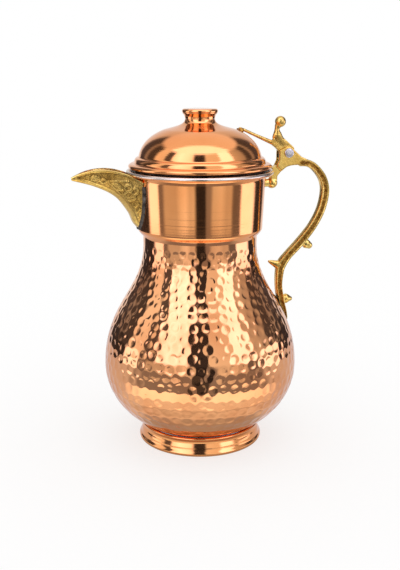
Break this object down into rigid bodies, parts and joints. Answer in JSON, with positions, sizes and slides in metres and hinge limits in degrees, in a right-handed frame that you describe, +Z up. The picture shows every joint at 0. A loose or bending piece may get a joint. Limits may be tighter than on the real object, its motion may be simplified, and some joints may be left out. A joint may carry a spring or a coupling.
{
  "type": "lidded copper jug",
  "caption": "Round-bellied hammered copper jug on a foot ring, with a flared neck, an open beak spout, a cast side handle and a domed lid that opens with a thumb lever.",
  "frame": {"origin": "on the table, under the middle of the jug's length from spout tip to handle back; the body's axis stands 3.5 mm from it towards the spout", "axes": "+Z up along the body's axis, -X towards the spout, +X towards the handle"},
  "size_m": [0.203, 0.1508, 0.2595],
  "materials": {
    "hammered_copper": "hammered and polished",
    "polished_copper": "polished",
    "tinned_copper": "wiped tin",
    "cast_brass": "as cast, edges polished",
    "solder": "dull",
    "pin_aluminium": "satin"
  },
  "bodies": {
    "jug": {"body_shell": "hammered_copper", "neck_collar": "polished_copper", "collar_solder": "solder", "foot_ring": "polished_copper", "foot_solder": "solder", "spout": "cast_brass", "spout_solder": "solder", "handle": "cast_brass", "handle_rivet": "cast_brass", "tail_solder": "solder", "hinge_pin": "pin_aluminium"},
    "lid": {"lid_shell": "polished_copper", "lid_inner_ring": "tinned_copper", "lid_knob": "polished_copper", "knob_solder": "solder", "thumb_lever": "cast_brass", "lever_arm_solder": "solder"}
  },
  "joints": [
    {"name": "lid_hinge", "type": "hinge", "parent": "jug", "child": "lid", "pos_m": [0.0666, 0, 0.2252], "axis": [0, 1, 0], "range_deg": [0, 110]}
  ]
}
